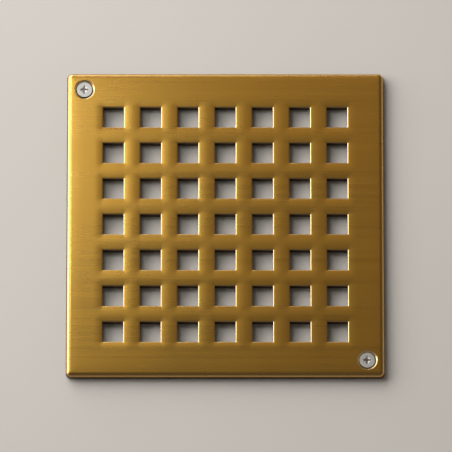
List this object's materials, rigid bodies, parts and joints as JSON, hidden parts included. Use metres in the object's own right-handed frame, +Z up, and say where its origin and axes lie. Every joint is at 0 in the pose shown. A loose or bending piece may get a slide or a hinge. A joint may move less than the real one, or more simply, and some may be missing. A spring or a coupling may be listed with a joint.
{
  "type": "floor drain grate",
  "caption": "Flat square drain grate with a grid of square drainage holes, held to the drain body by countersunk screws in opposite corners.",
  "frame": {"origin": "middle of the plate's underside, where the drain body's rim holds it", "axes": "+Z up out of the floor, normal to the plate; +X and +Y along the plate's edges, with screws in the -X+Y and +X-Y corners"},
  "size_m": [0.108, 0.108, 0.013],
  "materials": {
    "satin_brass": "satin",
    "stainless_steel": "satin"
  },
  "bodies": {
    "plate": {"grate_plate": "satin_brass"},
    "screw_rear_left": {"fixing_screw_rear_left": "stainless_steel"},
    "screw_front_right": {"fixing_screw_front_right": "stainless_steel"}
  },
  "joints": [
    {"name": "unscrew_rear_left", "type": "slide", "parent": "plate", "child": "screw_rear_left", "axis": [0, 0, 1], "range_m": [0, 0.013]},
    {"name": "unscrew_front_right", "type": "slide", "parent": "plate", "child": "screw_front_right", "axis": [0, 0, 1], "range_m": [0, 0.013]}
  ]
}
